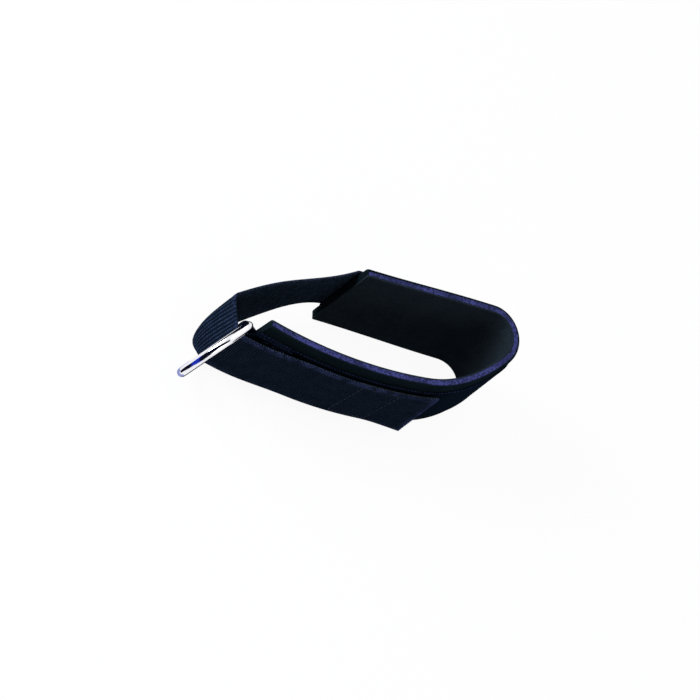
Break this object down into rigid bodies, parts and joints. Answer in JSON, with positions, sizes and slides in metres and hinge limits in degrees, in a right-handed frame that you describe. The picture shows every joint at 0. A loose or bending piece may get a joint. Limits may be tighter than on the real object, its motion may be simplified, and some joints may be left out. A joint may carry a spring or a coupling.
{
  "type": "esd wrist strap",
  "caption": "Padded grounding wrist strap: foam-cored cuff closed to a loop by an elastic strap that runs through a steel D-ring and fastens back with hook and loop.",
  "frame": {"origin": "centre of the bounding box's lower face, on the surface that the strap's lower edge rests on", "axes": "+Z across the strap's width, +X along the loop towards the cuff's folded round end, +Y towards the far arm that carries the snap stud"},
  "size_m": [0.094, 0.0352, 0.0275],
  "materials": {
    "lining_cloth": "matt knitted cloth",
    "foam": "matt cut foam, blue-violet",
    "cover_cloth": "matt cloth",
    "webbing": "woven, matt",
    "elastic": "ribbed woven elastic, matt",
    "loop_pile": "brushed pile",
    "hook_plastic": "fine moulded hooks",
    "thread": "polyester sewing thread",
    "ring_steel": "polished",
    "stud_steel": "nickel plated"
  },
  "bodies": {
    "cuff": {"lining": "lining_cloth", "foam_core": "foam", "outer_cover": "cover_cloth", "base_band": "webbing", "loop_patch": "loop_pile", "ring_tab": "webbing", "tab_seam": "thread", "elastic_strap": "elastic", "join_seam": "thread", "snap_stud": "stud_steel", "stud_rivet": "stud_steel"},
    "ring": {"d_ring": "ring_steel"},
    "tail": {"closure_tail": "elastic", "hook_patch": "hook_plastic", "hook_seam": "thread"}
  },
  "joints": [
    {"name": "ring_swing", "type": "hinge", "parent": "cuff", "child": "ring", "pos_m": [-0.03462, -0.00201, 0.01375], "axis": [0, 0, 1], "range_deg": [-75, 40]},
    {"name": "tail_peel", "type": "hinge", "parent": "cuff", "child": "tail", "pos_m": [-0.03301, -0.00576, 0.01375], "axis": [0, 0, -1], "range_deg": [0, 80]}
  ]
}
